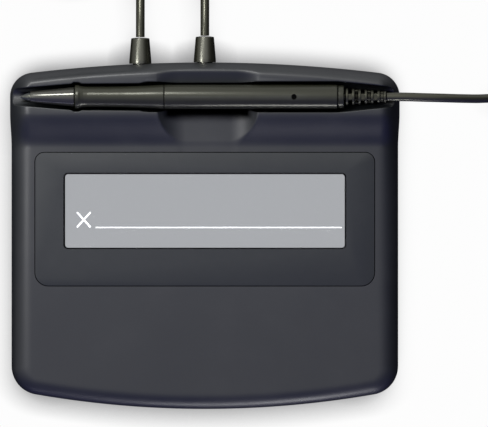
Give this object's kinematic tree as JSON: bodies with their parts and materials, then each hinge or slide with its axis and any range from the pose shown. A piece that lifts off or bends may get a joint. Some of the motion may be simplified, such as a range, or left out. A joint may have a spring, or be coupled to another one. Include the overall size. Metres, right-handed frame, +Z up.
{
  "type": "signature pad",
  "caption": "Desk signature pad: a low housing with a display window and a raised rest for a tethered pen, with two cables at the back.",
  "frame": {"origin": "on the desk under the middle of the housing", "axes": "+X along the pen towards its cable, +Y towards the cables at the back, +Z up"},
  "size_m": [0.2265, 0.2471, 0.0258],
  "materials": {
    "charcoal_plastic": "satin, fine grain",
    "film": "satin film",
    "clear_glass": "clear, polished",
    "display_grey": "semi-matt display film",
    "black_foam": "closed-cell foam",
    "tin_plate": "tinned",
    "clear_guide": "clear acrylic",
    "board_green": "solder mask",
    "chip_black": "moulded epoxy",
    "socket_white": "moulded",
    "flex_amber": "polyimide",
    "black_rubber": "satin",
    "zinc_steel": "zinc plated",
    "cord_sheath": "satin vinyl",
    "pen_paint": "pearl lacquer",
    "nose_paint": "bright pearl lacquer",
    "nib_plastic": "satin",
    "plug_black": "fine grain"
  },
  "bodies": {
    "housing": {"top_cover": "charcoal_plastic", "bottom_cover": "charcoal_plastic", "foot_1": "black_rubber", "foot_2": "black_rubber", "foot_3": "black_rubber", "foot_4": "black_rubber", "case_screw_1": "zinc_steel", "case_screw_2": "zinc_steel", "case_screw_3": "zinc_steel", "case_screw_4": "zinc_steel", "bezel_overlay": "film", "sensor_glass": "clear_glass", "sensor_gasket": "black_foam", "lcd_frame": "tin_plate", "lcd_panel": "display_grey", "light_guide": "clear_guide", "lcd_board": "board_green", "main_board": "board_green", "main_chip": "chip_black", "memory_chip": "chip_black", "crystal_can": "tin_plate", "pen_header": "socket_white", "host_header": "socket_white", "ribbon_socket": "socket_white", "flex_socket": "socket_white", "display_ribbon": "flex_amber", "sensor_flex": "flex_amber", "pen_lead_inside": "cord_sheath", "host_lead_inside": "cord_sheath", "board_screw_1": "zinc_steel", "board_screw_2": "zinc_steel", "board_screw_3": "zinc_steel", "board_screw_4": "zinc_steel", "pen_boot": "black_rubber", "host_boot": "black_rubber", "host_cable_run": "cord_sheath", "host_cable_coil": "cord_sheath", "host_cable_tail": "cord_sheath", "pen_cable_run": "cord_sheath", "pen_cable_coil": "cord_sheath", "pen_cable_return": "cord_sheath", "plug_grip": "plug_black", "plug_shell": "tin_plate", "plug_tongue": "chip_black"},
    "pen": {"nose_cone": "nose_paint", "grip_barrel": "pen_paint", "rear_barrel": "pen_paint", "pen_end_collar": "pen_paint", "pen_cable_relief": "black_rubber", "nib_spring": "zinc_steel", "tip_switch": "chip_black", "pen_board": "board_green", "pen_lead": "cord_sheath"},
    "nib": {"nib": "nib_plastic"}
  },
  "joints": [
    {"name": "pen_lift", "type": "slide", "parent": "housing", "child": "pen", "axis": [0, 0, 1], "range_m": [0, 0.03]},
    {"name": "nib_press", "type": "slide", "parent": "pen", "child": "nib", "axis": [1, 0, 0], "range_m": [0, 0.0005], "stiffness_N_per_m": 800, "springref_m": -0.0005}
  ]
}
